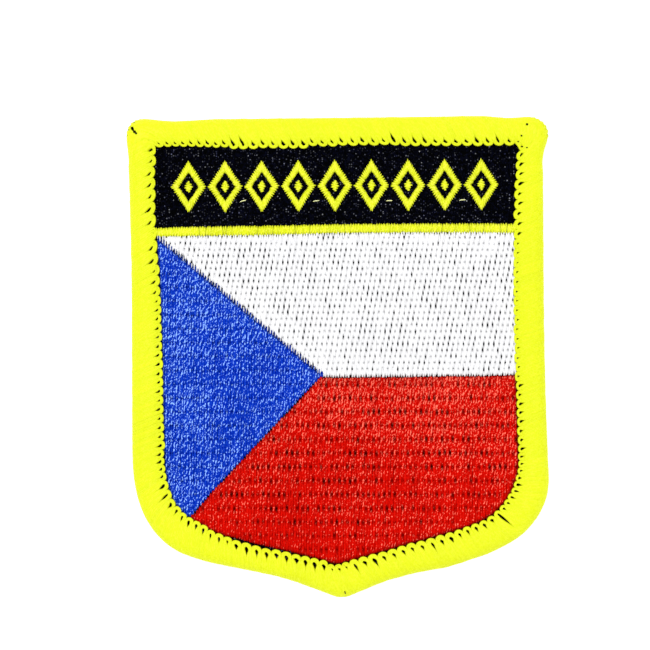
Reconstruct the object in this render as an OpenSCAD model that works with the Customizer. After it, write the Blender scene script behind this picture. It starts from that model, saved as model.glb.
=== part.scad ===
// Shield-shaped embroidered iron-on patch, lying flat with its stitched face up.
// The glue-coated backing rests on z = 0, +Y runs up the shield and +X to its right, in millimetres.

/* [Patch] */
// Width over the stitched border
patch_w = 62; // [50:1:80]
// Height of the border's rounded top above the glue face
border_h = 2.7; // [2.4:0.1:3.4]

/* [Layers] */
// Thickness of the glue-coated backing
backing_t = 0.4; // [0.3:0.05:0.6]
// Thickness of the stiffened twill ground
ground_t = 1; // [1:0.1:1.4]
// Thickness of the three stitched fields
field_t = 0.45; // [0.3:0.05:0.6]
// Thickness of the satin divider
divider_t = 0.6; // [0.4:0.05:0.8]
// Thickness of the satin lozenges
lozenge_t = 0.65; // [0.4:0.05:0.8]
// Clearance between neighbouring pieces
gap = 0.05; // [0.03:0.01:0.1]

/* [Divider] */
// Width of the satin divider
divider_w = 1.45; // [1:0.05:2]
// Height of the divider's middle above the patch's middle, at the drawn width of 62
divider_y = 18.65; // [18:0.05:19]
// Slope of the divider and the lozenge row, in degrees
band_tilt = 0.45; // [0:0.05:1.5]

/* [Lozenges] */
// Number of lozenges in the row, whose sizes below are those at the drawn width of 62
lozenge_count = 9; // [5:1:11]
// Length of the row
row_w = 48.2; // [40:0.2:49]
// Height of one lozenge
lozenge_h = 7.7; // [5:0.1:8.4]
// Width of the satin stroke
stroke_w = 0.95; // [0.6:0.05:1.2]
// Size of the small solid lozenge at each one's heart, as a share of the opening round it
heart_share = 0.45; // [0.3:0.05:0.7]
// Height of the row's middle above the patch's middle
row_y = 25; // [24.6:0.1:25.4]

/* [Hidden] */
// Width at which the corner tables, the row and the divider and field heights are drawn
drawn_w = 62;
grow = patch_w / drawn_w;

// Corners of the border's outer edge, counter-clockwise from the top right: [x, y, radius]
outer_corners = [
    [31.2, 35.4, 2.5],
    [-30.9, 34.7, 2],
    [-30.3, 12.5, 300],
    [-30.2, -14.2, 50],
    [-30, -19, 22],
    [-26.8, -28.5, 12],
    [-17.5, -30.5, 300],
    [-8, -32.4, 35],
    [0.7, -35.6, 3],
    [8.2, -32.3, 38],
    [20.4, -30.2, 33],
    [31.2, -23.8, 10.5],
    [30.3, -2, 600],
    [30.1, 28.7, 5],
];

// Matching corners of the border's inner edge: [x, y, radius]
inner_corners = [
    [26.4, 31.1, 1],
    [-27.1, 30.8, 0.6],
    [-26.3, 11, 220],
    [-25.8, -11, 110],
    [-25.5, -18, 12],
    [-23.6, -23.1, 6],
    [-17.2, -26.45, 20],
    [-9.9, -28.4, 30],
    [-0.2, -30.6, 1.5],
    [6.5, -28.75, 600],
    [16.8, -25.85, 37],
    [26.9, -22.4, 10],
    [26, 4, 90],
    [25.9, 23, 170],
];

// Corners of the hoist triangle: where it leaves the divider, its point, and its foot on the border
hoist_top = [-26.6, 17.6];
hoist_point = [-2.1, -2.9];
hoist_foot = [-21.7, -23.6];
// Height where the upper field meets the lower one
split_y = -2.9;

// Heights of the layers
ground_z = backing_t + gap;
stitch_z = ground_z + ground_t + gap;

// How far in from the outer edge a border feature lies, as a share of the border's width
lip_end = 0.8;
slot_end = 0.4;
fit_share = 0.02;

// Crown of the border from the inner edge to the outer side: [share in from the outer edge, share of crown height]
crown = [
    [1, 0.25],
    [0.95, 0.55],
    [0.84, 0.77],
    [0.66, 0.93],
    [0.45, 1],
    [0.26, 0.88],
    [0.11, 0.55],
    [0.02, 0.1],
];

// Outer side below the crown: [share in from the outer edge, share of the height under the crown]
flank = [
    [0, 0.73],
    [0.03, 0.4],
    [0.09, 0.15],
    [0.16, 0],
];

// Space between neighbouring lozenges, and how far the row lies off the patch's middle
lozenge_gap = 0.2;
row_x = -0.3;

// Largest distance between a rounded corner and its chords
chord_error = 0.02;
// Size of the blocks that cut the fields apart
reach = 100;

// Signed turn at q on the way from p to r, in degrees
function turn(p, q, r) = let(a = q - p, b = r - q) atan2(a.x * b.y - a.y * b.x, a * b);

function unit(v) = v / norm(v);

function turned(v, angle) = [v.x * cos(angle) - v.y * sin(angle), v.x * sin(angle) + v.y * cos(angle)];

function spot(corners, i) = let(c = corners[(i + len(corners)) % len(corners)]) grow * [c.x, c.y];

function corner_turn(corners, i) = turn(spot(corners, i - 1), spot(corners, i), spot(corners, i + 1));

function chords(corners, i) = ceil(abs(corner_turn(corners, i)) / (2 * acos(1 - chord_error / corners[i][2])));

// The two edges share one number of chords at each corner, so that every ring between them matches
corner_chords = [
    for (i = [0:len(outer_corners) - 1]) max(2, chords(outer_corners, i), chords(inner_corners, i))
];

function arc(corners, i) =
    let(
        bend = corner_turn(corners, i),
        radius = grow * corners[i][2],
        along = unit(spot(corners, i) - spot(corners, i - 1)),
        inward = sign(bend) * [-along.y, along.x],
        centre = spot(corners, i) - along * radius * tan(abs(bend) / 2) + inward * radius,
        count = corner_chords[i]
    )
    [for (k = [0:count]) centre - turned(inward * radius, bend * k / count)];

function edge(corners) = [for (i = [0:len(corners) - 1]) each arc(corners, i)];

function middle(points, axis) =
    let(values = [for (p = points) p[axis]])
    (min(values) + max(values)) / 2;

outer_edge = edge(outer_corners);
inner_edge = edge(inner_corners);
// The origin is the middle of the outer edge's box
origin = [middle(outer_edge, 0), middle(outer_edge, 1)];

// Closed ring at a share of the border's width: 0 is the outer edge, 1 the inner one
function ring(share) = [
    for (i = [0:len(outer_edge) - 1]) outer_edge[i] + share * (inner_edge[i] - outer_edge[i]) - origin
];

border_section = [
    for (row = crown) [row[0], stitch_z + row[1] * (border_h - stitch_z)],
    for (row = flank) [row[0], row[1] * stitch_z],
    [lip_end, 0],
    [lip_end, backing_t],
    [slot_end, backing_t],
    [slot_end, stitch_z],
    [1 - fit_share, stitch_z],
];

module slab(share, z, height)
    translate([0, 0, z])
        linear_extrude(height)
            polygon(ring(share));

// Block on the left of the line from p to q, drawn back from it by a clearance
module left_of(p, q, clearance)
    translate([grow * p.x - origin.x, grow * p.y - origin.y, 0])
        rotate(atan2(q.y - p.y, q.x - p.x))
            translate([-reach, clearance, -reach])
                cube([2 * reach, reach, 2 * reach]);

// Sloping block across the patch, from so far above the divider's middle and so wide
module band(start, width)
    rotate(band_tilt)
        translate([-reach, grow * divider_y + start, -reach])
            cube([2 * reach, width, 2 * reach]);

// Everything inside the border's inner edge and below the divider
module field_body()
    difference() {
        slab(1 + fit_share, stitch_z, field_t);
        band(-divider_w / 2 - gap, reach);
    }

module iron_on_backing()
    color("gainsboro")
        slab(lip_end + fit_share, 0, backing_t);

module twill_ground()
    color([0.08, 0.08, 0.1])
        slab(slot_end + fit_share, ground_z, ground_t);

module white_field()
    color("white")
        intersection() {
            field_body();
            left_of([0, split_y], [1, split_y], gap / 2);
            left_of(hoist_top, hoist_point, gap / 2);
        }

module red_field()
    color("red")
        intersection() {
            field_body();
            left_of([1, split_y], [0, split_y], gap / 2);
            left_of(hoist_point, hoist_foot, gap / 2);
        }

module blue_field()
    color("royalblue")
        intersection() {
            field_body();
            left_of(hoist_point, hoist_top, gap / 2);
            left_of(hoist_foot, hoist_point, gap / 2);
        }

module divider()
    color("yellow")
        intersection() {
            slab(1 + fit_share, stitch_z, divider_t);
            band(-divider_w / 2, divider_w);
        }

// The border is one tube of this section, with a slot inside that takes the ground's edge
module merrowed_border() {
    around = len(outer_edge);
    across = len(border_section);
    points = [
        for (row = border_section)
            for (p = ring(row[0]))
                [p.x, p.y, row[1]]
    ];
    faces = [
        for (j = [0:across - 1])
            for (i = [0:around - 1])
                let(
                    next_j = (j + 1) % across,
                    next_i = (i + 1) % around,
                    a = j * around + i,
                    b = j * around + next_i,
                    c = next_j * around + next_i,
                    d = next_j * around + i
                )
                each [[a, b, c], [a, c, d]]
    ];
    color("yellow")
        polyhedron(points, faces);
}

// Distance between two lozenges, and one lozenge's [width, height]
pitch = grow * row_w / lozenge_count;
lozenge_size = [pitch - grow * lozenge_gap, grow * lozenge_h];
// How much smaller the opening inside a satin stroke is than the lozenge round it
opening_share = 1 - 2 * grow * stroke_w * norm(lozenge_size) / (lozenge_size.x * lozenge_size.y);

module rhombus(share)
    polygon([
        for (tip = [[1, 0], [0, 1], [-1, 0], [0, -1]])
            share / 2 * [tip.x * lozenge_size.x, tip.y * lozenge_size.y]
    ]);

module in_row(i)
    rotate(band_tilt)
        translate([grow * row_x + (i - (lozenge_count + 1) / 2) * pitch, grow * row_y, stitch_z])
            linear_extrude(lozenge_t)
                children();

module lozenge(i)
    color("gold")
        in_row(i)
            difference() {
                rhombus(1);
                rhombus(opening_share);
            }

module lozenge_heart(i)
    color("gold")
        in_row(i)
            rhombus(opening_share * heart_share);

iron_on_backing();
twill_ground();
white_field();
red_field();
blue_field();
divider();
for (i = [1:lozenge_count]) lozenge(i);
for (i = [1:lozenge_count]) lozenge_heart(i);
merrowed_border();
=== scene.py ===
"""Shield-shaped embroidered iron-on patch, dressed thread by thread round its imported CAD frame."""

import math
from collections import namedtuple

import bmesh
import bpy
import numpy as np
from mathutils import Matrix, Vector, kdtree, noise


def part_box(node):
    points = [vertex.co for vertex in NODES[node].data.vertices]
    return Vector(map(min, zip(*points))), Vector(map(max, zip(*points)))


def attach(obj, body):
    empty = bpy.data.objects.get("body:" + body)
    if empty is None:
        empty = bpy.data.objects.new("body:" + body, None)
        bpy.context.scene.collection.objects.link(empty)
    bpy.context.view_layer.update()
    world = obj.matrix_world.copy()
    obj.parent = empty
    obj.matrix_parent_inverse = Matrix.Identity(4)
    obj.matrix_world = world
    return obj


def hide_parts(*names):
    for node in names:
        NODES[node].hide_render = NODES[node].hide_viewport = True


bl_info = {
    "name": "Embroidered Iron-on Patch",
    "version": (1, 0, 0),
    "blender": (4, 5, 0),
    "location": "3D View > Sidebar > Patch",
    "description": "Fill stitches, satin rows, merrowed border and twill of a shield-shaped patch",
    "category": "Object",
}

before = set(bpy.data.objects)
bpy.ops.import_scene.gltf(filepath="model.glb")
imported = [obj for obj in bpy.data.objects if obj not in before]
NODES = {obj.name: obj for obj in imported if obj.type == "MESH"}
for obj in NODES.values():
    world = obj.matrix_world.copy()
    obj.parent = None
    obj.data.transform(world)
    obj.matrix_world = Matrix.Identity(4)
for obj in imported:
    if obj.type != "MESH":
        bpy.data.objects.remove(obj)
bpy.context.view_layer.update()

MM = 0.001
# Heights that the CAD solids give
GROUND_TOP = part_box("twill_ground")[1].z
STITCH_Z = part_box("white_field")[0].z
FIELD_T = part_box("white_field")[1].z - STITCH_Z
DIVIDER_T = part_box("divider")[1].z - STITCH_Z
LOZENGE_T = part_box("lozenge_1")[1].z - STITCH_Z
BORDER_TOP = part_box("merrowed_border")[1].z
LOZENGES = sorted(n for n in NODES if n.startswith("lozenge_") and "heart" not in n)
HEARTS = sorted(n for n in NODES if n.startswith("lozenge_heart_"))


# Settings

def length(name, description, default):
    """Length setting, with its default in millimetres."""
    return bpy.props.FloatProperty(
        name=name, description=description, default=default * MM, min=0, unit="LENGTH", precision=5)


def tint(name, description, default):
    """Colour setting, with its default in linear RGB."""
    return bpy.props.FloatVectorProperty(
        name=name, description=description, default=default, min=0, max=1, size=3, subtype="COLOR")


class PATCH_PG_colours(bpy.types.PropertyGroup):
    """Thread and cloth colours."""
    yellow: tint("Yellow", "Border, divider and lozenge thread", (0.65, 0.715, 0.0105))
    white: tint("White", "Thread of the upper field", (0.78, 0.78, 0.79))
    red: tint("Red", "Thread of the lower field", (0.56, 0.003, 0.0006))
    blue: tint("Blue", "Thread of the hoist triangle", (0.003, 0.035, 0.44))
    black: tint("Black", "Twill ground", (0.0006, 0.0006, 0.0016))
    glue: tint("Glue", "Glue film on the back", (0.62, 0.62, 0.6))


class PATCH_PG_fields(bpy.types.PropertyGroup):
    """Sizes of the fill stitches."""
    white_pitch: length("White pitch", "Spacing of the white columns", 0.185)
    white_length: length("White stitch", "Length of a white stitch", 3.68)
    white_width: length("White thread", "Flattened width of the white thread", 0.275)
    colour_pitch: length("Colour pitch", "Spacing of the red and blue columns", 0.385)
    colour_length: length("Colour stitch", "Length of a red or blue stitch", 4.04)
    colour_width: length("Colour thread", "Flattened width of the red and blue thread", 0.45)


class PATCH_PG_satin(bpy.types.PropertyGroup):
    """Sizes of the satin stitches."""
    pitch: length("Satin pitch", "Spacing of neighbouring satin threads", 0.19)
    width: length("Satin thread", "Flattened width of the satin thread", 0.26)
    jag: length("Jag", "How unevenly the satin threads end", 0.08)


class PATCH_PG_border(bpy.types.PropertyGroup):
    """Sizes of the merrowed border."""
    lean: bpy.props.FloatProperty(
        name="Lean", description="Slant of the threads across the border", default=math.radians(22),
        subtype="ANGLE")
    strand_share: bpy.props.FloatProperty(
        name="Strand share", description="Half-width of a strand as a share of the purl spacing",
        default=0.13, min=0.05, max=0.2, subtype="FACTOR")
    wobble: length("Wobble", "Unevenness of the purl tips", 0.035)


class PATCH_PG_stage(bpy.types.PropertyGroup):
    """Camera and light."""
    height: length("Camera height", "Camera above the glue face", 450)
    across: length("Frame", "Width of the floor that the camera sees", 95.5)
    sky: bpy.props.FloatProperty(
        name="Sky", description="Strength of the white surroundings", default=0.9, min=0)
    key: bpy.props.FloatProperty(
        name="Key light", description="Power of the soft light overhead", default=2.45, min=0, unit="POWER")


# Node trees

def add(tree, kind, inputs=None, **settings):
    """New node with its settings and its inputs, each a value or another node's output."""
    made = tree.nodes.new(kind)
    for key, value in settings.items():
        setattr(made, key, value)
    for key, value in (inputs or {}).items():
        if isinstance(value, bpy.types.NodeSocket):
            tree.links.new(value, made.inputs[key])
        else:
            made.inputs[key].default_value = value
    return made


def maths(tree, operation, *values):
    """Output of a Math node over values or other outputs."""
    return add(tree, "ShaderNodeMath", dict(enumerate(values)), operation=operation).outputs[0]


def blend(tree, factor, low, high, kind="MIX"):
    """Colour output that goes from low to high, or applies high to low by its kind."""
    return add(
        tree, "ShaderNodeMix", {0: factor, 6: low, 7: high}, data_type="RGBA", blend_type=kind,
        clamp_result=False).outputs[2]


def remap(tree, value, start, end, low=0, high=1, kind="LINEAR"):
    """Output that goes from low to high while a value goes from start to end."""
    return add(
        tree, "ShaderNodeMapRange",
        {"Value": value, "From Min": start, "From Max": end, "To Min": low, "To Max": high},
        interpolation_type=kind).outputs[0]


def cloud(tree, place, scale, detail):
    """Output of a noise texture."""
    return add(
        tree, "ShaderNodeTexNoise", {"Vector": place, "Scale": scale, "Detail": detail}).outputs[0]


def solid_place(tree):
    """Output with a point's place in the patch."""
    return add(tree, "ShaderNodeTexCoord").outputs["Object"]


def bumped(tree, shader, height, strength, distance):
    """Raises a shader's surface by a height output."""
    bump = add(tree, "ShaderNodeBump", {"Height": height, "Strength": strength, "Distance": distance})
    tree.links.new(bump.outputs[0], shader.inputs["Normal"])


def rgba(colour, level=1.0):
    """Colour setting as a socket value."""
    return (*(c * level for c in colour), 1.0)


def material(name):
    """New material with its tree and its Principled shader."""
    made = bpy.data.materials.new(name)
    made.use_nodes = True
    return made, made.node_tree, made.node_tree.nodes["Principled BSDF"]


def thread_group():
    """Twisted plies along the thread map: masks for painted glints and painted groove shade, fibre noise and
    bump height.
    """
    name = "Thread twist"
    if name in bpy.data.node_groups:
        return bpy.data.node_groups[name]
    tree = bpy.data.node_groups.new(name, "ShaderNodeTree")
    for label in ("Plies", "Lead", "Rarity"):
        tree.interface.new_socket(label, in_out="INPUT", socket_type="NodeSocketFloat")
    for label in ("Glint", "Groove", "Fibre", "Height"):
        tree.interface.new_socket(label, in_out="OUTPUT", socket_type="NodeSocketFloat")
    given = tree.nodes.new("NodeGroupInput").outputs
    out = tree.nodes.new("NodeGroupOutput").inputs
    chart = add(tree, "ShaderNodeUVMap", uv_map="thread").outputs[0]
    turn, along, _ = add(tree, "ShaderNodeSeparateXYZ", {0: chart}).outputs
    place = solid_place(tree)
    twist = maths(
        tree, "ADD", maths(tree, "MULTIPLY", turn, given["Plies"]),
        maths(tree, "DIVIDE", along, given["Lead"]))
    twist = maths(tree, "MULTIPLY_ADD", cloud(tree, place, 1100, 1), 1.6, twist)
    wave = maths(
        tree, "MULTIPLY_ADD", maths(tree, "SINE", maths(tree, "MULTIPLY", twist, math.tau)), 0.5, 0.5)
    facing = maths(tree, "SINE", maths(tree, "MULTIPLY", turn, math.tau))
    crown = maths(tree, "POWER", maths(tree, "MAXIMUM", facing, 0.0), 1.5)
    stretched = add(tree, "ShaderNodeCombineXYZ", {
        0: maths(tree, "MULTIPLY", turn, 9), 1: maths(tree, "MULTIPLY", along, 900)}).outputs[0]
    fibre = cloud(tree, stretched, 3, 2)
    slanted = add(tree, "ShaderNodeMapping", {
        "Vector": place, "Rotation": (0, 0, math.radians(-18)),
        "Scale": (0.135 * MM, 0.29 * MM, 0.5 * MM)}, vector_type="TEXTURE").outputs[0]
    ridge = maths(tree, "MULTIPLY", maths(tree, "POWER", wave, 2.0), crown)
    # The painted glints and the painted groove shade are where this is highest and lowest
    score = maths(
        tree, "ADD", maths(tree, "MULTIPLY_ADD", ridge, 0.22, cloud(tree, slanted, 1, 1)),
        maths(tree, "MULTIPLY", cloud(tree, place, 90, 0), 0.12))
    over = maths(tree, "SUBTRACT", score, given["Rarity"])
    tree.links.new(remap(tree, over, 0, 0.09, kind="SMOOTHSTEP"), out["Glint"])
    tree.links.new(remap(tree, score, 0.55, 0.44, kind="SMOOTHSTEP"), out["Groove"])
    tree.links.new(fibre, out["Fibre"])
    height = maths(tree, "MULTIPLY_ADD", fibre, 0.3, maths(tree, "MULTIPLY", wave, 0.7))
    tree.links.new(height, out["Height"])
    return tree


# Look of a thread: colour and strength of the painted shade in its grooves, colour, strength and rarity of
# its painted glints, roughness, gloss, length of its twist in millimetres, and how much rarer the painted
# glints grow for each millimetre down
Thread = namedtuple("Thread", "dark deep glint shine rarity rough lustre lead wane", defaults=(1.45, 0))
THREADS = {
    "white": Thread(
        dark=(0.6, 0.6, 0.62), deep=0.1, glint=(0.95, 0.95, 0.97), shine=0.2, rarity=0.65, rough=0.5,
        lustre=0.1),
    "red": Thread(
        dark=(0.3, 0.0004, 0.0), deep=0.7, glint=(0.95, 0.17, 0.11), shine=1.0, rarity=0.674, rough=0.45,
        lustre=0.01, wane=0.0045),
    "blue": Thread(
        dark=(0.0003, 0.009, 0.3), deep=0.9, glint=(0.26, 0.46, 1.0), shine=1.0, rarity=0.705, rough=0.45,
        lustre=0.01),
    "yellow": Thread(
        dark=(0.45, 0.46, 0.006), deep=0.3, glint=(0.97, 0.92, 0.14), shine=0.45, rarity=0.65, rough=0.5,
        lustre=0.08, lead=1.2),
}


def thread_material(name, colour, look):
    """Twisted embroidery thread: painted groove shade, painted glints on the ridges, and slightly different
    stitches.
    """
    made, tree, shader = material(name)
    # The painted glints grow rarer towards the bottom of the patch
    up = add(tree, "ShaderNodeSeparateXYZ", {0: solid_place(tree)}).outputs[1]
    rarity = maths(tree, "MULTIPLY_ADD", up, -look.wane / MM, look.rarity)
    twist = add(
        tree, "ShaderNodeGroup", {"Plies": 2, "Lead": look.lead * MM, "Rarity": rarity},
        node_tree=thread_group()).outputs
    # Painted shade in the grooves, then painted glints on the ridges
    base = blend(tree, maths(tree, "MULTIPLY", twist["Groove"], look.deep), rgba(colour), rgba(look.dark))
    base = blend(tree, maths(tree, "MULTIPLY", twist["Glint"], look.shine), base, rgba(look.glint))
    # Each stitch's own tone, darkened by the painted shade of its needle holes and of the border over it
    shade = add(tree, "ShaderNodeAttribute", attribute_name="shade").outputs["Fac"]
    level = maths(tree, "MULTIPLY", shade, remap(tree, twist["Fibre"], 0, 1, 0.88, 1.1))
    grey = add(tree, "ShaderNodeCombineColor", {0: level, 1: level, 2: level}).outputs[0]
    tree.links.new(blend(tree, 1.0, base, grey, "MULTIPLY"), shader.inputs["Base Color"])
    rough = remap(tree, twist["Fibre"], 0, 1, look.rough - 0.08, look.rough + 0.1)
    tree.links.new(rough, shader.inputs["Roughness"])
    shader.inputs["Specular IOR Level"].default_value = look.lustre
    bumped(tree, shader, twist["Height"], 0.3, 0.05 * MM)
    return made


# Spacing of the lint on the twill, and how big a speck of it may be
LINT_SPACING = 0.33 * MM
SPECK = 0.15 * MM


def twill_material(colour):
    """Black twill with a fine diagonal grain and specks of pale lint."""
    name = "Black twill"
    if name in bpy.data.materials:
        return bpy.data.materials[name]
    made, tree, shader = material(name)
    place = solid_place(tree)
    cells = add(tree, "ShaderNodeTexVoronoi", {"Vector": place, "Scale": 1 / LINT_SPACING}).outputs
    chance, tone, _ = add(tree, "ShaderNodeSeparateColor", {0: cells["Color"]}).outputs
    speck = maths(
        tree, "MULTIPLY", remap(tree, cells["Distance"], SPECK / LINT_SPACING, 0, kind="SMOOTHSTEP"),
        maths(tree, "POWER", chance, 5.0))
    grain = cloud(tree, place, 3000, 2)
    pale = blend(tree, tone, (0.42, 0.43, 0.46, 1.0), (0.07, 0.08, 0.2, 1.0))
    ground = blend(tree, remap(tree, grain, 0.45, 0.75), rgba(colour, 0.3), (0.002, 0.0025, 0.01, 1.0))
    tree.links.new(blend(tree, speck, ground, pale), shader.inputs["Base Color"])
    turned = add(tree, "ShaderNodeMapping", {0: place, "Rotation": (0, 0, math.radians(30))})
    rib = add(tree, "ShaderNodeTexWave", {
        "Vector": turned.outputs[0], "Scale": 900.0, "Distortion": 2.0, "Detail": 1.0})
    bumped(tree, shader, maths(tree, "MULTIPLY_ADD", rib.outputs["Fac"], 0.6, grain), 0.6, 0.08 * MM)
    shader.inputs["Roughness"].default_value = 0.85
    shader.inputs["Specular IOR Level"].default_value = 0.02
    return made


def glue_material(colour):
    """Milky heat-seal film, slightly rippled over the bobbin threads under it."""
    made, tree, shader = material("Glue film")
    place = solid_place(tree)
    ripple = cloud(tree, place, 260, 4)
    fine = add(tree, "ShaderNodeTexVoronoi", {"Vector": place, "Scale": 1500.0}).outputs["Distance"]
    tree.links.new(blend(tree, ripple, rgba(colour, 0.86), rgba(colour, 1.12)), shader.inputs["Base Color"])
    tree.links.new(remap(tree, ripple, 0, 1, 0.22, 0.5), shader.inputs["Roughness"])
    bumped(tree, shader, maths(tree, "MULTIPLY_ADD", fine, 0.4, ripple), 0.5, 0.15 * MM)
    return made


# Objects

def linked(name, data):
    """New object of a mesh, lamp or camera, in the scene."""
    made = bpy.data.objects.new(name, data)
    bpy.context.scene.collection.objects.link(made)
    return made


def from_bmesh(name, bm):
    """New object of a bmesh, which is used up."""
    mesh = bpy.data.meshes.new(name)
    bm.to_mesh(mesh)
    bm.free()
    return linked(name, mesh)


def dress(obj, finish, slot, *nodes):
    """Gives a piece its material, and lets it ride and stand for CAD nodes. The slot argument is not used."""
    obj.data.materials.clear()
    obj.data.materials.append(finish)
    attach(obj, "root")
    if nodes:
        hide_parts(*nodes)
    return obj


# Threads as joined copies of one tube

Template = namedtuple("Template", "points corners sizes map")
# Free edge of the map that the looks are baked on
MAP_EDGE = 0.001


def tube(rings, sides, flat=1.0):
    """Closed tube along y through rings of (along, girth, lift), with a map of round and along."""
    bm = bmesh.new()
    bmesh.ops.create_circle(bm, segments=sides, radius=1)
    bmesh.ops.rotate(bm, verts=bm.verts, matrix=Matrix.Rotation(math.pi / 2, 3, "X"))
    fresh = set(bm.verts)
    for _ in rings[1:]:
        edges = [e for e in bm.edges if e.verts[0] in fresh and e.verts[1] in fresh]
        grown = bmesh.ops.extrude_edge_only(bm, edges=edges)["geom"]
        fresh = {g for g in grown if isinstance(g, bmesh.types.BMVert)}
        bmesh.ops.translate(bm, verts=list(fresh), vec=(0, 1, 0))
    bmesh.ops.holes_fill(bm, edges=[e for e in bm.edges if e.is_boundary], sides=0)
    bmesh.ops.recalc_face_normals(bm, faces=bm.faces)
    bm.verts.ensure_lookup_table()
    corners, sizes, places = [], [], []
    for face in bm.faces:
        turns = [math.atan2(v.co.z, v.co.x) / math.tau % 1 for v in face.verts]
        if len(turns) == 4 and max(turns) - min(turns) > 0.5:
            turns = [t + 1 if t < 0.5 else t for t in turns]
        sizes.append(len(turns))
        corners += [v.index for v in face.verts]
        places += [(t, rings[round(v.co.y)][0]) for t, v in zip(turns, face.verts)]
    points = []
    for v in bm.verts:
        along, girth, lift = rings[round(v.co.y)]
        points.append((v.co.x * girth, along, lift + v.co.z * girth * flat))
    bm.free()
    return Template(np.array(points), np.array(corners), np.array(sizes), np.array(places))


def joined(name, template, points, lengths, shades, chart=None):
    """One object of many copies of a template, whose points and their shades are given for each copy."""
    count, per = points.shape[:2]
    mesh = bpy.data.meshes.new(name)
    mesh.vertices.add(count * per)
    mesh.vertices.foreach_set("co", points.astype(np.float32).ravel())
    corners = (template.corners[None] + per * np.arange(count)[:, None]).ravel()
    mesh.loops.add(len(corners))
    mesh.loops.foreach_set("vertex_index", corners.astype(np.int32))
    sizes = np.tile(template.sizes, count)
    mesh.polygons.add(len(sizes))
    mesh.polygons.foreach_set("loop_start", (np.cumsum(sizes) - sizes).astype(np.int32))
    mesh.update(calc_edges=True)
    mesh.validate()
    thread = np.tile(template.map[None], (count, 1, 1))
    # Each copy starts at its own place in the twist
    starts = np.random.default_rng(3).uniform(0, 40 * MM, (count, 1))
    thread[..., 1] = thread[..., 1] * lengths[:, None] + starts
    mesh.uv_layers.new(name="thread").data.foreach_set("uv", thread.astype(np.float32).ravel())
    if chart is None:
        chart = np.stack([points[..., 0] + 0.3 * points[..., 2], points[..., 1] + 0.2 * points[..., 2]], -1)
    chart = chart.reshape(-1, 2) - chart.reshape(-1, 2).min(0)
    chart = chart / chart.max() * (1 - 2 * MAP_EDGE) + MAP_EDGE
    mesh.uv_layers.new(name="OFBake").data.foreach_set("uv", chart[corners].astype(np.float32).ravel())
    shade = mesh.attributes.new("shade", "FLOAT", "POINT")
    shade.data.foreach_set("value", shades.astype(np.float32).ravel())
    mesh.shade_smooth()
    return linked(name, mesh)


# A thread from (x0, y0) to (x1, y1): width, thickness, height of its foot, shade, how much painted shade its
# needle holes lay on each end, how far it sways aside, where in its sway it starts and how long one sway is
Stitch = namedtuple(
    "Stitch", "x0 y0 x1 y1 width thick base shade dim0 dim1 bow mark period", defaults=(1, 0, 0, 0, 0, 1))
# How far from its ends a thread carries painted shade from its needle holes, and over how long a way that
# fades
HOLE_SHADE_REACH = 0.5 * MM
FADE = 0.5 * MM


def mirrored(*half):
    """Rings along a whole thread, from those of its first half and its middle."""
    return [*half, *((1 - along, girth, lift) for along, girth, lift in half[::-1] if along < 0.5)]


# Rings along a thread: share of its length, girth, and height as a share of its thickness
LONG = mirrored((0, 0.3, 0.1), (0.03, 0.72, 0.35), (0.08, 0.92, 0.54), (0.2, 1, 0.64), (0.5, 1, 0.67))
PARTED = mirrored(
    (0, 0.3, 0.1), (0.03, 0.72, 0.35), (0.1, 0.98, 0.6), (0.18, 1, 0.64), (0.25, 0.86, 0.66), (0.32, 1, 0.66),
    (0.5, 0.94, 0.67))
SHORT = mirrored((0, 0.35, 0.15), (0.05, 0.7, 0.42), (0.14, 0.9, 0.6), (0.3, 1, 0.7))
FLOAT = mirrored((0, 0.4, 0.1), (0.2, 0.9, 0.5), (0.5, 1, 0.66))


def lay(name, template, stitches, hole=HOLE_SHADE_REACH):
    """Object of stitches, each a copy of the template from its start to its end."""
    s = Stitch(*(column[:, None] for column in np.array(stitches, float).T))
    across, along, up = template.points.T[:, None, :]
    dx, dy = s.x1 - s.x0, s.y1 - s.y0
    reach = np.hypot(dx, dy)
    travel = along * reach
    sway = np.sin(math.tau * (travel + s.mark) / s.period)
    shift = across * s.width / 2 - s.bow * sway * np.abs(sway) ** 3
    x = s.x0 + dx * along + dy / reach * shift
    y = s.y0 + dy * along - dx / reach * shift
    z = s.base + s.thick * up
    # Painted shade from the needle holes, darkest along the middle of each thread
    near = lambda distance: np.clip((hole - distance) / FADE, 0, 1)
    core = np.clip(2 - 2 * np.abs(across), 0, 1)
    shade = s.shade * (1 - s.dim0 * core * near(travel)) * (1 - s.dim1 * core * near(reach - travel))
    return joined(name, template, np.stack([x, y, z], -1), reach[:, 0], shade)


# Outlines of CAD solids

# Direction of the shield's top right corner from its middle, in degrees
CORNER = 48.5


def rim(node):
    """Edges round a CAD solid's top face, as pairs of (x, y) points."""
    bm = bmesh.new()
    bm.from_mesh(NODES[node].data)
    bmesh.ops.remove_doubles(bm, verts=bm.verts, dist=1e-6)
    bm.normal_update()
    edges = [
        tuple((v.co.x, v.co.y) for v in e.verts) for e in bm.edges
        if sum(f.normal.z > 0.9 for f in e.link_faces) == 1 and len(e.link_faces) == 2]
    bm.free()
    return edges


def crossing(edges, x):
    """Lowest and highest y where an upright line crosses a rim, or nothing."""
    ys = [ay + (by - ay) * (x - ax) / (bx - ax) for (ax, ay), (bx, by) in edges if (ax - x) * (bx - x) < 0]
    return (min(ys), max(ys)) if ys else None


def ring_at(node, height):
    """Points of a CAD solid at one height, counter-clockwise from the top right corner."""
    points = {
        (round(v.co.x, 6), round(v.co.y, 6)) for v in NODES[node].data.vertices
        if abs(v.co.z - height) < 1e-5}
    start = math.radians(CORNER)
    return np.array(sorted(points, key=lambda p: (math.atan2(p[1], p[0]) - start) % math.tau))


def closed(points):
    """Points with the first one again at the end."""
    return np.vstack([points, points[:1]])


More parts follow.
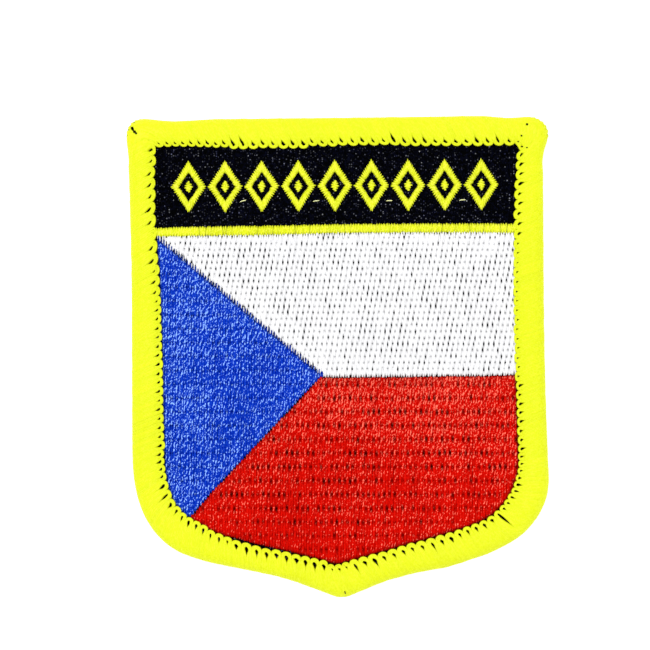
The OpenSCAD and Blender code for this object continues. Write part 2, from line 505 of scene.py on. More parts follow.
def course(line):
    """Length of a line up to each of its points."""
    return np.concatenate([[0], np.cumsum(np.hypot(*np.diff(line, axis=0).T))])


def between(rows, at):
    """Value between the rows of a [place, value] table, whose places are in millimetres."""
    return np.interp(at / MM, *zip(*rows))


def drift(x, y, scale, seed):
    """Slow noise over the patch, from about -1 to 1."""
    return noise.noise(Vector((x * scale, y * scale, seed)))


# Fields

# Upright columns of stitches: pitch, length and width, how far the needle holes step up from one column to
# the next as a share of a stitch, size and painted shade of a hole at a weak, a middling and a strong pull,
# how much strong pulls cluster, how far a thread sways, how far a column starts above its field's lower edge
# and ends below its upper one, how much painted shade those ends get, how far a hole's painted shade reaches,
# how uneven the rows of holes are, and how much weaker the pull is at the lower edge. Gaps, low and high are
# in millimetres.
Fill = namedtuple("Fill", "pitch length width step gaps dims cluster bow low high edge_dim hole jitter fade")
PULLS = (0, 0.55, 1)
# How near to a column's ends the needle may go down, and the shortest column
SPARE = 0.7 * MM
SHORTEST = 0.5 * MM
# How far above a field's lower edge its needle holes are at their darkest again
CALM = 5 * MM
# How far the tips of the blue threads stand past their field's edge, in millimetres
TIPS = (0.25, 0.65)
# Where the hoist triangle ends, and where the blue columns start
POINT_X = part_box("blue_field")[1].x
BLUE_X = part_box("blue_field")[0].x
# Stretch of the lower edge where the red threads stop short of the border, as [x, how far] in millimetres
SHORTFALL = [(-17, -0.22), (-15.5, 0.32), (-7, 0.34), (-3.5, -0.1)]
# How far the blue field's lower edge bows up past its line, likewise
BOW = [(-21, 0), (-19, 0.3), (-2.5, 0.36)]
# How far the divider's lower and upper edges lie above their CAD lines, likewise
DIVIDER_DRIFT = [(-26, -0.22), (-13, -0.14), (-5, 0), (3, 0.11), (15, 0.07), (20, 0.03), (26, -0.1)]
DIVIDER_RISE = [(-13, -0.05), (-8, 0), (-1, 0.11), (12, 0.11), (20, 0.04), (26, 0)]
# How far the line between the upper and the lower field lies above its CAD line, likewise
SPLIT_DRIFT = [(-2, -0.2), (10, -0.12), (14, -0.05), (19, 0), (24, 0.07), (25.5, 0.2)]
# A rim steeper than this many times its run is met by the next column
STEEP = 1.7


def column_span(edges, x, inward):
    """Lowest and highest y of a column, carried on past a steep rim so that no sliver stays bare."""
    here = crossing(edges, x)
    inner = crossing(edges, x + inward)
    if here is None or inner is None:
        return inner
    low, high = here
    steep = STEEP * abs(inward)
    return (inner[0] if low - inner[0] > steep else low, inner[1] if inner[1] - high > steep else high)


def fill_stitches(node, fill, colour_pitch, seed):
    """Upright columns of long stitches over a field, broken where the needle went down."""
    rng = np.random.default_rng(seed)
    edges = rim(node)
    lo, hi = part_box(node)
    stitches = []
    for k in range(-1, int((hi.x - lo.x) / fill.pitch) + 2):
        x = lo.x + (k + 0.5) * fill.pitch
        span = column_span(edges, x, math.copysign(0.55 * fill.pitch, (lo.x + hi.x) / 2 - x))
        if span is None:
            continue
        tooth = math.cos(math.tau * ((x - BLUE_X) / colour_pitch - 0.5)) > 0
        low = span[0] + fill.low(x, tooth, rng) * MM
        high = span[1] - fill.high(x, tooth, rng) * MM
        if high - low < SHORTEST:
            continue
        mark = fill.step * k % 1 * fill.length
        first = mark + math.ceil((low + SPARE - mark) / fill.length) * fill.length
        needle = np.arange(first, high - SPARE, fill.length)
        stops = [low, *(needle + rng.normal(0, fill.jitter, len(needle))), high]
        half, dims = [0.0], [rng.uniform(0.3, 1) * fill.edge_dim]
        for y in stops[1:-1]:
            pull = 0.5 + fill.cluster * drift(x, y, 260, seed) + rng.uniform(-0.5, 0.5)
            pull -= fill.fade * max(0, 1 - (y - low) / CALM)
            half.append(0.5 * MM * np.interp(pull, PULLS, fill.gaps))
            dims.append(np.interp(pull, PULLS, fill.dims))
        half.append(0.0)
        dims.append(rng.uniform(0.3, 1) * fill.edge_dim)
        for n in range(len(stops) - 1):
            start = stops[n] + half[n]
            end = stops[n + 1] - half[n + 1]
            lean = rng.normal(0, 0.012) * MM
            stitches.append(Stitch(
                x - lean, start, x + lean, end, fill.width * rng.uniform(0.94, 1.06),
                FIELD_T * rng.uniform(0.93, 1.03) + 0.05 * MM, GROUND_TOP,
                bow=fill.bow * rng.uniform(0.7, 1.3), mark=start - mark, period=fill.length,
                shade=rng.uniform(0.93, 1.05), dim0=dims[n], dim1=dims[n + 1]))
        if node == "blue_field":
            # A thin tip stands past the edge at each column, darkened with painted shade
            tip = high + rng.uniform(*TIPS) * MM
            stitches.append(Stitch(
                x + rng.normal(0, 0.03) * MM, high - 0.45 * MM, x + 0.07 * MM, tip,
                rng.uniform(0.2, 0.27) * MM, FIELD_T, GROUND_TOP + 0.1 * MM, rng.uniform(0.3, 0.8), 0, 0.7))
    if node == "blue_field":
        # One thread more stands at the triangle's point, with painted shade at its upper end
        x, y = POINT_X - 0.25 * MM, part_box("white_field")[0].y
        stitches.append(Stitch(
            x, y - 0.15 * MM, x + 0.05 * MM, y + 0.75 * MM, 0.5 * MM, FIELD_T, GROUND_TOP + 0.1 * MM,
            0.75, 0, 0.6))
    return stitches


def shaded_by_border(piece):
    """Paints shade on a field's threads in the valleys between the purls' tips, where the border stands over
    them.
    """
    tree = kdtree.KDTree(len(BORDER.edge))
    for k, place in enumerate(BORDER.edge):
        tree.insert((*place, 0), k)
    tree.balance()
    ends = np.array([run[0] for run in RUNS])
    middles = (ends + np.concatenate([[FIRST_PURL], ends[:-1]])) / 2
    for vertex, shade in zip(piece.data.vertices, piece.data.attributes["shade"].data):
        x, y = vertex.co.xy
        place, k, distance = tree.find((x, y, 0))
        if distance < 1 * MM:
            inward = -np.dot((x - place[0], y - place[1]), BORDER.near[k]) / MM
            tip = -np.interp(BORDER.s[k] / MM, middles, [run[2] for run in RUNS])
            shade.value *= float(np.interp(inward - tip, (-0.1, 0.16), (0.03, 1)))


class PATCH_OT_fields(bpy.types.Operator):
    """Fills the three fields with long stitches"""
    bl_idname = "patch.fields"
    bl_label = "Stitched fields"

    def execute(self, context):
        sizes = context.scene.patch_fields
        white = Fill(
            sizes.white_pitch, sizes.white_length, sizes.white_width, step=0.25,
            gaps=(-0.2, -0.05, 0.3), dims=(0.03, 0.25, 0.62), cluster=0.2, bow=0.045 * MM,
            low=lambda x, tooth, rng: (
                rng.uniform(*(0.1, 0.5) if tooth else (-0.4, -0.2)) if x < POINT_X
                else rng.uniform(*(0.1, 0.35) if tooth else (-0.1, 0)) + between(SPLIT_DRIFT, x)),
            high=lambda x, tooth, rng: (
                rng.uniform(*(-0.2, 0.15) if tooth else (-0.4, -0.3)) - between(DIVIDER_DRIFT, x)),
            edge_dim=0.3, hole=HOLE_SHADE_REACH, jitter=0.06 * MM, fade=0)
        red = Fill(
            sizes.colour_pitch, sizes.colour_length, sizes.colour_width, step=0.5,
            gaps=(-0.36, -0.33, -0.22), dims=(0.1, 0.6, 0.97), cluster=0.35, bow=0.02 * MM,
            low=lambda x, tooth, rng: between(SHORTFALL, x) + rng.uniform(-0.05, 0.05),
            high=lambda x, tooth, rng: (
                rng.uniform(-0.18, 0.1) - between(BOW, x) if x < POINT_X
                else -rng.uniform(0, 0.12) - between(SPLIT_DRIFT, x)),
            edge_dim=0.5, hole=0.88 * MM, jitter=0.05 * MM, fade=0.5)
        blue = red._replace(
            gaps=(-0.36, -0.33, -0.26), dims=(0.02, 0.12, 0.65), cluster=0.4,
            low=lambda x, tooth, rng: between(BOW, x) - rng.uniform(-0.05, 0.12),
            high=lambda x, tooth, rng: rng.uniform(0, 0.12),
            edge_dim=0.3, hole=HOLE_SHADE_REACH, fade=0.3)
        whole = tube(LONG, 6, 0.33)
        self.field(context, "white", white, tube(PARTED, 4, 0.33), 11)
        shaded_by_border(self.field(context, "red", red, whole, 12))
        shaded_by_border(self.field(context, "blue", blue, whole, 13))
        return {"FINISHED"}

    def field(self, context, hue, fill, template, seed):
        """Piece of one field's stitches in its thread."""
        node = f"{hue}_field"
        stitches = fill_stitches(node, fill, context.scene.patch_fields.colour_pitch, seed)
        colour = getattr(context.scene.patch_colours, hue)
        finish = thread_material(f"{hue.capitalize()} thread", colour, THREADS[hue])
        return dress(lay(f"{hue}_stitches", template, stitches, fill.hole), finish, f"{hue}_thread", node)


# Satin

# How far the divider's ends reach under the border, how far its left end droops and over how long a way
TUCK = 0.3 * MM
DROOP = 0.2 * MM
DROOP_RUN = 5 * MM
# Number of the divider's threads that are thin and darker, with painted shade at their ends
THIN_THREADS = 14


def satin_row(inner, outer, steps, spare, sizes, thick, rng):
    """Zigzag of threads between two lines of points, two to a needle hole, give or take the spare."""
    stitches = []
    t = np.linspace(0, 1, len(inner))
    at = lambda line, u: np.array([np.interp(u, t, line[:, 0]), np.interp(u, t, line[:, 1])])
    for k in range(steps):
        near, far = (k + spare, k + 1 - spare) if k % 2 == 0 else (k + 1 - spare, k + spare)
        a, b = at(inner, near / steps), at(outer, far / steps)
        along = (b - a) / np.linalg.norm(b - a)
        a = a - along * rng.uniform(-1, 1) * sizes.jag
        b = b + along * rng.uniform(-1, 1) * sizes.jag
        # Each thread gets its own tone and a little painted shade at its needle holes
        stitches.append(Stitch(
            *a, *b, sizes.width * rng.uniform(0.92, 1.08), thick * rng.uniform(0.92, 1.02) + 0.05 * MM,
            GROUND_TOP, rng.uniform(0.9, 1.08), rng.uniform(0, 0.15), rng.uniform(0, 0.15)))
    return stitches


class PATCH_OT_satin(bpy.types.Operator):
    """Lays the satin divider, the row of lozenges and the loose threads between them"""
    bl_idname = "patch.satin"
    bl_label = "Divider and lozenges"

    def execute(self, context):
        sizes = context.scene.patch_satin
        yellow = context.scene.patch_colours.yellow
        finish = thread_material("Yellow thread", yellow, THREADS["yellow"])
        short = tube(SHORT, 6, 0.28)
        rng = np.random.default_rng(31)
        for names, row in ((["divider"], self.divider), (LOZENGES, self.lozenge), (HEARTS, self.heart)):
            for name in names:
                piece = lay(f"{name}_satin", short, row(name, sizes, rng))
                dress(piece, finish, "yellow_thread", name)
        pale = thread_material("Loose thread", [0.5 + 0.5 * c for c in yellow], THREADS["yellow"])
        dress(lay("loose_threads", tube(SHORT, 5, 0.3), self.loose(rng)), pale, "yellow_thread")
        return {"FINISHED"}

    def divider(self, name, sizes, rng):
        """Stitches up and down across the divider."""
        edges = rim(name)
        lo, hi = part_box(name)
        xs = np.linspace(lo.x - TUCK, hi.x + TUCK, 60)
        spans = np.array([crossing(edges, np.clip(x, lo.x + TUCK / 5, hi.x - TUCK / 5)) for x in xs])
        droop = DROOP * np.exp(-(xs - lo.x) / DROOP_RUN)
        low = spans[:, 0] + between(DIVIDER_DRIFT, xs) * MM
        high = spans[:, 1] - 0.08 * MM - droop + between(DIVIDER_RISE, xs) * MM
        steps = int((xs[-1] - xs[0]) / sizes.pitch)
        row = satin_row(np.stack([xs, low], 1), np.stack([xs, high], 1), steps, 0.3, sizes, DIVIDER_T, rng)
        for k in rng.choice(len(row), THIN_THREADS, replace=False):
            row[k] = row[k]._replace(width=0.75 * row[k].width, shade=0.8, dim0=0.4, dim1=0.6)
        return row

    def lozenge(self, name, sizes, rng):
        """Stitches round a lozenge, between its inner and outer corners."""
        corners = {(round(x, 6), round(y, 6)) for edge in rim(name) for x, y in edge}
        middle = np.mean(list(corners), axis=0)
        off = lambda p, axis: abs(p[axis] - middle[axis])
        turn = lambda p: math.atan2(p[1] - middle[1], p[0] - middle[0])
        upright = sorted((p for p in corners if off(p, 1) > off(p, 0)), key=lambda p: off(p, 1))
        level = sorted((p for p in corners if off(p, 1) <= off(p, 0)), key=lambda p: off(p, 0))
        inner = closed(np.array(sorted(upright[:2] + level[:2], key=turn)))
        outer = closed(np.array(sorted(upright[2:] + level[2:], key=turn)))
        return satin_row(inner, outer, int(course(outer)[-1] / sizes.pitch), 0.05, sizes, LOZENGE_T, rng)

    def heart(self, name, sizes, rng):
        """Level stitches that fill a lozenge's heart."""
        edges = [((ay, ax), (by, bx)) for (ax, ay), (bx, by) in rim(name)]
        lo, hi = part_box(name)
        steps = max(5, int((hi.y - lo.y) / sizes.pitch))
        ys = np.linspace(lo.y, hi.y, steps + 2)[1:-1]
        left, right = np.array([crossing(edges, y) for y in ys]).T
        return satin_row(
            np.stack([left, ys], 1), np.stack([right, ys], 1), steps, 0.1, sizes, LOZENGE_T, rng)

    def loose(self, rng):
        """Thin threads carried over from every other lozenge to the next."""
        row = []
        for name in LOZENGES[1::2]:
            lo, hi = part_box(name)
            y = lo.y + 1.6 * MM
            row.append(Stitch(
                hi.x - 0.45 * MM, y, hi.x + 0.5 * MM, y + rng.uniform(-0.1, 0.4) * MM, 0.14 * MM, 0.25 * MM,
                GROUND_TOP, bow=0.05 * MM, period=1.6 * MM))
        return row


# Ground

# Spacing and length of the twill's floats, and how far they step up from one column to the next
FLOAT_PITCH = 0.3 * MM
FLOAT_RUN = 0.62 * MM
FLOAT_STEP = 0.27


class PATCH_OT_ground(bpy.types.Operator):
    """Finishes the twill ground and the glue-coated back"""
    bl_idname = "patch.ground"
    bl_label = "Twill and backing"

    def execute(self, context):
        colours = context.scene.patch_colours
        twill = twill_material(colours.black)
        ground = dress(NODES["twill_ground"], twill, "black_twill")
        dress(NODES["iron_on_backing"], glue_material(colours.glue), "glue_film")
        weave = dress(lay("twill_weave", tube(FLOAT, 5, 0.33), self.floats()), twill, "black_twill")
        return {"FINISHED"}

    def floats(self):
        """Floats of the twill over the bare band, stepped along its diagonal."""
        rng = np.random.default_rng(51)
        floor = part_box("divider")[1].y - 0.4 * MM
        xs = np.arange(BORDER.edge[:, 0].min(), BORDER.edge[:, 0].max(), FLOAT_PITCH)
        top = BORDER.edge[:, 1].max() + 0.1 * MM
        row = []
        for k, x in enumerate(xs):
            for y in np.arange(floor + FLOAT_STEP * k % 1 * FLOAT_RUN, top, FLOAT_RUN):
                row.append(Stitch(
                    x, y, x + rng.normal(0, 0.02) * MM, y + FLOAT_RUN * 0.94, FLOAT_PITCH * 0.95,
                    0.16 * MM, GROUND_TOP - 0.04 * MM, rng.uniform(0.6, 1.4)))
        return row


# Border

# Section of the border's face in millimetres: out from its inner edge, and up
FACE = [
    (-0.8, 1.9), (-0.25, 2.02), (0, 2.12), (0.25, 2.26), (0.7, 2.45), (1.4, 2.63), (2.3, 2.7), (3.1, 2.58),
    (3.74, 2.18), (4.12, 1.62), (4.2, 1.1), (4.07, 0.6), (3.82, 0.22), (3.5, 0), (2.9, 0), (0.9, 0)]
FACE_WIDTH = 4.2
# Points along the face, and the half of them that run outwards
FACE_STEPS = 400
OUTWARDS = slice(FACE_STEPS // 2)
# Stations round the inner edge
STATIONS = 2400
# Where the CAD border's inner and outer edges are, as shares of the heights of its crown and its flank
CROWN_FOOT = 0.25
FLANK_TOP = 0.73
# How far out the strip keeps square to its inner edge, about
TURN = 0.8 * MM
# How much wider the yarn lies than the CAD's border, as [place, millimetres]
TRIMS = [
    (0, 0.5), (1, -0.1), (1.7, -0.32), (3, -0.3), (5, -0.03), (8, 0.05), (12, 0), (45.5, 0), (48, -0.15),
    (50.3, -0.25), (52.2, -0.17), (53, 0.05), (53.8, 0.35), (55.5, 0), (105, 0), (107, -0.07), (109, 0),
    (111, -0.06), (112.6, -0.15), (114.5, 0), (149, 0), (151.4, -0.14), (153.5, 0), (157, 0), (159.5, -0.07),
    (162, 0), (208.5, 0), (210, -0.14), (211.2, -0.1), (212, 0.25), (212.4, 0.5)]


def soften(values, sigma):
    """Values round a closed line, smoothed over so many stations."""
    reach = int(3 * sigma)
    weights = np.exp(-0.5 * (np.arange(-reach, reach + 1) / sigma) ** 2)
    padded = np.concatenate([values[-reach:], values, values[:reach]])
    return np.convolve(padded, weights / weights.sum(), "valid")


class Border:
    """The border as a strip: s runs round its inner edge, w outwards over its face, h off the face."""

    def __init__(self):
        inner = closed(ring_at("merrowed_border", STITCH_Z + CROWN_FOOT * (BORDER_TOP - STITCH_Z)))
        outer = ring_at("merrowed_border", FLANK_TOP * STITCH_Z)
        at = course(inner)
        self.round = at[-1]
        self.s = np.linspace(0, self.round, STATIONS, endpoint=False)
        self.edge = np.stack([np.interp(self.s, at, inner[:, k]) for k in (0, 1)], 1)
        heading = np.roll(self.edge, -1, 0) - np.roll(self.edge, 1, 0)
        heading /= np.linalg.norm(heading, axis=1, keepdims=True)
        spacing = self.round / STATIONS
        self.near, self.out = (self.outward(heading, reach / spacing) for reach in (0.5 * MM, 2.0 * MM))
        ripple = np.array([noise.noise(Vector((600 * s, 0, 0))) for s in self.s])
        trim = between(TRIMS, self.s) * MM
        self.width = soften(self.reach(outer) + trim, 0.3 * MM / spacing) + 0.05 * MM * ripple
        self.face()

    def outward(self, heading, sigma):
        """Outward direction at each station, from headings smoothed over so many stations."""
        soft = np.stack([soften(heading[:, k], sigma) for k in (0, 1)], 1)
        soft /= np.linalg.norm(soft, axis=1, keepdims=True)
        return np.stack([soft[:, 1], -soft[:, 0]], 1)

    def reach(self, outer):
        """Distance from each station to the outer edge along its outward direction."""
        start = outer[None]
        side = np.roll(outer, -1, 0)[None] - start
        gap = start - (self.edge + TURN * (self.near - self.out))[:, None]
        out = self.out[:, None]
        cross = out[..., 0] * side[..., 1] - out[..., 1] * side[..., 0]
        far = (gap[..., 0] * side[..., 1] - gap[..., 1] * side[..., 0]) / cross
        share = (gap[..., 0] * out[..., 1] - gap[..., 1] * out[..., 0]) / cross
        far = np.where((share >= 0) & (share <= 1) & (far > 0), far, np.inf)
        return far.min(axis=1)

    def face(self):
        """Smooth section of the face by its length, with its outward direction."""
        rows = np.array(FACE)
        bend = course(rows)
        fine = np.linspace(0, bend[-1], FACE_STEPS)
        line = np.stack([np.interp(fine, bend, rows[:, k]) for k in (0, 1)], 1)
        for _ in range(60):
            line[1:-1] = (line[:-2] + line[1:-1] * 2 + line[2:]) / 4
        along = course(line)
        along -= np.interp(0, line[OUTWARDS, 0], along[OUTWARDS])
        slope = np.gradient(line, axis=0)
        slope /= np.linalg.norm(slope, axis=1, keepdims=True)
        self.w = along * MM
        self.section = line * MM
        self.lift = np.stack([-slope[:, 1], slope[:, 0]], 1)
        self.end = self.w[-1]

    def stretch(self, s, w):
        """How much wider apart the stations lie at w than on the inner edge."""
        step = 0.2 * MM
        apart = self.place(s + step, w, 0 * w) - self.place(s - step, w, 0 * w)
        return np.linalg.norm(apart, axis=-1) / (2 * step)

    def place(self, s, w, h):
        """Points on the strip, as an array with x, y and z last."""
        pick = lambda column: np.interp(s, self.s, column, period=self.round)
        across = lambda column: np.interp(w, self.w, column)
        wide = pick(self.width) / (FACE_WIDTH * MM)
        far = across(self.section[:, 0]) * wide + h * across(self.lift[:, 0])
        up = across(self.section[:, 1]) + h * across(self.lift[:, 1])
        # The first part of the way runs square to the inner edge, even at a corner
        square = np.where(far > 0, TURN * (1 - np.exp(-np.maximum(far, 0) / TURN)), far)
        x, y = (
            pick(self.edge[:, k]) + pick(self.near[:, k]) * square + pick(self.out[:, k]) * (far - square)
            for k in (0, 1))
        return np.stack([x, y, up], -1)


BORDER = Border()

# Runs of purls, counter-clockwise from the top right corner: where the run ends, how many purls it has, how
# far their tips lie out from the inner edge, depth of the scallops, half-width of the holes and their length
RUNS = [
    (11.9, 7, -0.32, 0.45, 0.3, 1.1),
    (17.8, 4, -0.31, 0.45, 0.3, 1.15),
    (27, 6, -0.16, 0.45, 0.28, 1.1),
    (31.3, 3, -0.28, 0.45, 0.25, 1),
    (43, 8, -0.58, 0.45, 0.3, 1.1),
    (45.4, 2, -0.4, 0.4, 0.25, 0.9),
    (50.1, 4, -0.25, 0.38, 0.25, 0.9),
    (53.6, 3, -0.26, 0.35, 0.2, 0.7),
    (56.7, 2, -0.48, 0.42, 0.27, 1.1),
    (61.7, 3, -0.24, 0.45, 0.32, 1.25),
    (65.5, 2, -0.06, 0.5, 0.32, 1.35),
    (67.4, 1, -0.1, 0.4, 0.05, 0.2),
    (71.2, 2, -0.19, 0.5, 0.32, 1.25),
    (75.8, 3, -0.37, 0.45, 0.28, 1.05),
    (98.3, 17, -0.46, 0.3, 0.24, 0.85),
    (102.7, 4, -0.36, 0.28, 0.24, 0.9),
    (107, 3, -0.4, 0.32, 0.3, 1.2),
    (112.9, 5, -0.6, 0.3, 0.22, 1),
    (116.8, 3, -0.4, 0.32, 0.21, 1),
    (122.8, 4, -0.33, 0.45, 0.34, 1.4),
    (127.3, 3, -0.48, 0.45, 0.38, 1.45),
    (131.3, 3, -0.5, 0.4, 0.34, 1.3),
    (134.3, 3, -0.27, 0.3, 0.2, 0.7),
    (150.4, 11, -0.32, 0.45, 0.3, 1.35),
    (158, 6, -0.34, 0.42, 0.25, 1),
    (167, 9, -0.38, 0.25, 0.21, 0.75),
    (177.6, 8, -0.34, 0.32, 0.24, 0.9),
    (198.4, 15, -0.36, 0.17, 0.17, 0.6),
    (210, 8, -0.3, 0.45, 0.29, 1.15),
    (211.3, 1, -0.24, 0.38, 0.28, 1.05),
    (212.4, 1, 0.08, 0.2, 0.05, 0.2)]
FIRST_PURL = 1.1

# Slant of the threads across the border, as [place, share of the lean]
LEANS = [
    (0, 0.9), (10, 1.1), (45, 1.1), (52, 1), (60, 1.35), (68, 1.35), (78, 1), (98, 0.8), (108, 0.9),
    (114, 0.6), (128, 0.55), (134, 0.8), (148, 0.65), (157, 0.35), (166, 0.6), (200, 0.8)]
# How far out from the inner edge the slant starts
SLANT_START = 0.1 * MM
# How much thicker the rim between a scallop and its hole is, as [place, millimetres]
RIMS = [
    (0, 0.05), (3, 0), (54, 0), (57, 0.22), (74, 0.22), (78, 0.05), (112, 0.05), (118, 0.2), (149, 0.2),
    (152, 0.03), (165, -0.06), (190, -0.06), (199, 0.12)]
# Purls whose hole runs on as a long slit: place round the border in millimetres, and how much longer it is
LONG_SLITS = [(3, 1.6), (14, 1.5), (18.5, 1.6), (41, 1.6), (42.5, 1.7), (105, 2), (157.5, 3.7)]

# Dark flecks laid as painted shadows between the border's strands at its corners: x, y, their run in x and y,
# and width, all in millimetres
CORNER_SHADOWS = [
    (-30.27, 33.2, 0.36, 0.2, 0.7), (-30, 32.87, 0.42, -0.02, 0.42), (-29.66, 32.7, 0.24, -0.16, 0.34),
    (27.42, 34.02, 0.28, -0.16, 0.34), (26.7, 32.4, 0.12, -0.24, 0.26), (26.2, 31.5, 0.14, -0.14, 0.2),
    (26.65, 30.7, 0.36, 0, 0.22), (27.4, 30.55, 0.3, -0.02, 0.17), (0.91, -34.2, 0.14, -0.5, 0.16)]

# Height of a strand's back over its edges
STRAND_HEIGHT = 0.11 * MM
# Places of the rings on one strand's leg, as shares of the way from its arch to its end
LEG = [0.01, 0.03, 0.06, 0.11, 0.2, 0.3, 0.36, 0.41, 0.455, 0.5, 0.545, 0.59, 0.66, 1]
ARCH = 9
# How deep the dark filling lies under the strands
FILLING_DEPTH = 0.3 * MM


class PATCH_OT_border(bpy.types.Operator):
    """Wraps the border in purled strands over a dark filling"""
    bl_idname = "patch.border"
    bl_label = "Merrowed border"

    def execute(self, context):
        colours = context.scene.patch_colours
        yarn = THREADS["yellow"]._replace(deep=0.06, glint=(0.9, 0.92, 0.1), shine=0.15, lead=1.4)
        finish = thread_material("Border yarn", colours.yellow, yarn)
        dress(self.purls(context.scene.patch_border), finish, "border_yarn", "merrowed_border")
        dark = twill_material(colours.black)
        dress(self.filling(), dark, "black_twill")
        dress(self.tufts(), dark, "black_twill")
        return {"FINISHED"}

    def tufts(self):
        """Short dark threads just proud of the yarn, laid as painted shadows between its strands."""
        s, w = (g.ravel() for g in np.meshgrid(BORDER.s[::2], np.linspace(0, 5 * MM, 60), indexing="ij"))
        face = BORDER.place(s, w, 0 * w)
        row = []
        for x, y, dx, dy, width in np.array(CORNER_SHADOWS) * MM:
            near = face[np.argmin(np.hypot(face[:, 0] - x - dx / 2, face[:, 1] - y - dy / 2))]
            row.append(Stitch(x, y, x + dx, y + dy, width, 0.14 * MM, near[2] - 0.02 * MM))
        return lay("corner_tufts", tube(SHORT, 6, 0.3), row)

    def purls(self, sizes):
        """Three nested strands for each purl, from the underside over the crown, round the tip and back."""
        rng = np.random.default_rng(71)
        centres, traits = [], []
        start = FIRST_PURL
        for end, count, *trait in RUNS:
            pitch = (end - start) / count
            centres += [start + pitch * (k + 0.5) + rng.normal(0, 0.03) for k in range(count)]
            traits += [trait] * count
            start = end
        centres = np.array(centres) * BORDER.round / (RUNS[-1][0] - FIRST_PURL)
        tips, depths, holes, slits = np.array(traits).T * MM
        after = (np.roll(centres, -1) - centres) % BORDER.round / 2
        before = np.roll(after, 1)
        tips = tips + rng.normal(0, 1, len(tips)) * sizes.wobble
        holes = holes * rng.uniform(0.8, 1.2, len(tips))
        slits = slits * rng.uniform(0.85, 1.35, len(tips))
        for at, stretch in LONG_SLITS:
            slits[np.argmin(np.abs(centres - at * MM))] *= stretch
        lean = math.tan(sizes.lean) * between(LEANS, centres)
        # How fast the halves of a purl widen with the way out, because its neighbours slant otherwise
        fan_after = (np.roll(lean, -1) - lean) / 2
        fan_before = np.roll(fan_after, 1)
        rims = between(RIMS, centres) * MM
        strand = tube([(n, 1, 0) for n in range(2 * len(LEG) + ARCH)], 5)
        ring = np.round(strand.points[:, 1]).astype(int)
        across, up = strand.points[:, 0], strand.points[:, 2]
        theta = np.linspace(0, math.pi, ARCH)
        side = np.concatenate([[-1] * len(LEG), -np.cos(theta), [1] * len(LEG)])
        arch = np.concatenate([[1] * len(LEG), 1 - np.sin(theta), [1] * len(LEG)])
        leg = np.concatenate([LEG[::-1], [0] * ARCH, LEG])
        pieces, charts, lengths, shades = [], [], [], []
        for k in range(len(centres)):
            for j in range(3):
                depth = depths[k] + (-0.1 + 0.05 * j) * MM
                crest = tips[k] + (0.34 - 0.09 * j) * MM + rims[k] * (1 - j / 2)
                foot = crest + depth
                w = np.where(leg > 0, foot + (BORDER.end - foot) * leg, crest + depth * arch)
                past = (w - tips[k] - rims[k] - 0.3 * MM) / slits[k]
                open_ = holes[k] * np.interp(past, (0, 0.35, 0.75, 1), (0.45, 1, 0.45, 0))
                run = np.clip(w - SLANT_START, 0, FACE_WIDTH * MM)
                half = np.where(side < 0, before[k] + fan_before[k] * run, after[k] + fan_after[k] * run)
                half = np.maximum(half, 0.3 * MM)
                # Neighbouring strands overlap by a third of a strand's half-width
                edge = 0.65 * sizes.strand_share * 2 * half
                spread = open_ + edge + j / 2 * (half - open_ - 2 * edge)
                # The threads start square at the tip and then turn into their slant
                s = centres[k] + side * spread + lean[k] * run
                ds, dw = np.gradient(s), np.gradient(w)
                reach = np.hypot(ds, dw)
                radius = np.clip(
                    sizes.strand_share * 2 * half * BORDER.stretch(s, w), 0.1 * MM, 0.8 * MM)
                radius = radius * np.interp(w - tips[k], (0.4 * MM, 1.6 * MM), (0.8, 1.25))
                tall = np.minimum(radius, STRAND_HEIGHT)
                at_s = s[ring] + across * radius[ring] * dw[ring] / reach[ring]
                at_w = w[ring] - across * radius[ring] * ds[ring] / reach[ring]
                at_h = (up - 1) * tall[ring] + rng.normal(0, 0.008) * MM
                pieces.append(BORDER.place(at_s, at_w, at_h))
                charts.append(np.stack([at_s, at_w + 0.3 * at_h], -1))
                lengths.append(reach.sum() / (len(leg) - 1))
                shades.append(np.full(len(ring), rng.uniform(0.97, 1.03)))
        return joined(
            "border_purls", strand, np.array(pieces), np.array(lengths), np.array(shades), np.array(charts))

    def filling(self):
        """Closed dark ring under the strands, seen only where they part."""
        low = np.interp(2.5 * MM, BORDER.section[OUTWARDS, 0], BORDER.w[OUTWARDS])
        high = BORDER.w[np.argmax(BORDER.section[:, 1] <= 0.05 * MM)] + 0.5 * MM
        bm = bmesh.new()
        bmesh.ops.create_grid(bm, x_segments=240, y_segments=14, size=0.5)
        s = np.array([v.co.x + 0.5 for v in bm.verts]) * BORDER.round
        turn = np.array([v.co.y + 0.5 for v in bm.verts])
        # The last row of the grid closes on the first
        w = low + (high - low) * np.where(turn > 0.999, 0, turn)
        for v, point in zip(bm.verts, BORDER.place(s, w, np.full(len(s), -FILLING_DEPTH))):
            v.co = point
        bmesh.ops.remove_doubles(bm, verts=bm.verts, dist=1e-6)
        bmesh.ops.recalc_face_normals(bm, faces=bm.faces)
        made = from_bmesh("border_filling", bm)
        made.data.shade_smooth()
        return made


# Stage

# Size and place of the soft light, the point that the camera is over and the width of its sensor
LAMP_SIZE = 0.35
LAMP_PLACE = (-0.06, 0.12, 0.6)
AIM = (-1.95 * MM, 4.62 * MM)
SENSOR = 36


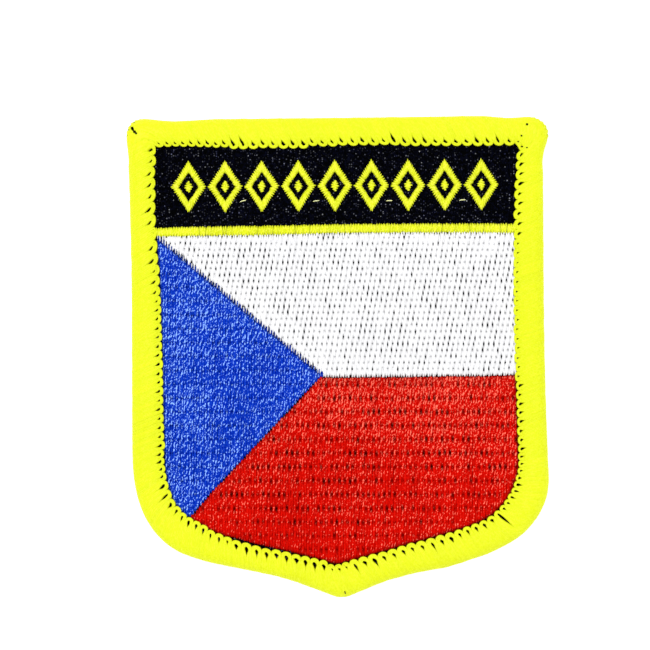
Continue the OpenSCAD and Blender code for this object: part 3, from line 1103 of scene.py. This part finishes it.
class PATCH_OT_stage(bpy.types.Operator):
    """Sets the floor, the soft light and the camera straight above"""
    bl_idname = "patch.stage"
    bl_label = "Stage"

    def execute(self, context):
        stage = context.scene.patch_stage
        self.floor()
        world = bpy.data.worlds.new("Studio")
        world.use_nodes = True
        backdrop = world.node_tree.nodes["Background"]
        backdrop.inputs["Color"].default_value = (1, 1, 1, 1)
        backdrop.inputs["Strength"].default_value = stage.sky
        context.scene.world = world
        lamp = bpy.data.lights.new("key", "AREA")
        lamp.energy = stage.key
        lamp.size = LAMP_SIZE
        key = linked("key", lamp)
        key.location = LAMP_PLACE
        key.rotation_euler = Vector(key.location).to_track_quat("Z", "Y").to_euler()
        lens = bpy.data.cameras.new("camera")
        lens.sensor_width = SENSOR
        lens.lens = SENSOR * stage.height / stage.across
        camera = linked("camera", lens)
        camera.location = (*AIM, stage.height)
        context.scene.camera = camera
        context.scene.view_settings.view_transform = "Standard"
        return {"FINISHED"}

    def floor(self):
        """Plain pale floor just under the glue face."""
        bm = bmesh.new()
        bmesh.ops.create_grid(bm, x_segments=4, y_segments=4, size=2)
        bmesh.ops.translate(bm, verts=bm.verts, vec=(0, 0, -0.05 * MM))
        floor = from_bmesh("floor", bm)
        made, tree, shader = material("Studio floor")
        shades = blend(tree, cloud(tree, solid_place(tree), 40, 2), (0.9, 0.9, 0.9, 1), (0.94, 0.94, 0.94, 1))
        tree.links.new(shades, shader.inputs["Base Color"])
        shader.inputs["Emission Color"].default_value = (1, 1, 1, 1)
        shader.inputs["Emission Strength"].default_value = 0.5
        shader.inputs["Roughness"].default_value = 0.9
        floor.data.materials.append(made)


class PATCH_PT_sidebar(bpy.types.Panel):
    """Lists the patch's settings and steps"""
    bl_label = "Embroidered patch"
    bl_idname = "PATCH_PT_sidebar"
    bl_space_type = "VIEW_3D"
    bl_region_type = "UI"
    bl_category = "Patch"

    def draw(self, context):
        for step, key in STEPS:
            box = self.layout.box()
            box.operator(step.bl_idname)
            for label in GROUPS[key].__annotations__:
                box.prop(getattr(context.scene, key), label)


GROUPS = {
    "patch_colours": PATCH_PG_colours,
    "patch_fields": PATCH_PG_fields,
    "patch_satin": PATCH_PG_satin,
    "patch_border": PATCH_PG_border,
    "patch_stage": PATCH_PG_stage,
}
STEPS = (
    (PATCH_OT_stage, "patch_stage"),
    (PATCH_OT_ground, "patch_colours"),
    (PATCH_OT_fields, "patch_fields"),
    (PATCH_OT_satin, "patch_satin"),
    (PATCH_OT_border, "patch_border"),
)
CLASSES = (*GROUPS.values(), *(step for step, key in STEPS), PATCH_PT_sidebar)


def register():
    """Registers the classes and gives the scene their settings."""
    for cls in CLASSES:
        bpy.utils.register_class(cls)
    for key, cls in GROUPS.items():
        setattr(bpy.types.Scene, key, bpy.props.PointerProperty(type=cls))


def unregister():
    """Takes the settings and the classes away again."""
    for key in GROUPS:
        delattr(bpy.types.Scene, key)
    for cls in reversed(CLASSES):
        bpy.utils.unregister_class(cls)


def main():
    """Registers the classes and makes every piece."""
    register()
    bpy.ops.patch.stage()
    bpy.ops.patch.ground()
    bpy.ops.patch.fields()
    bpy.ops.patch.satin()
    bpy.ops.patch.border()


if __name__ == "__main__":
    main()
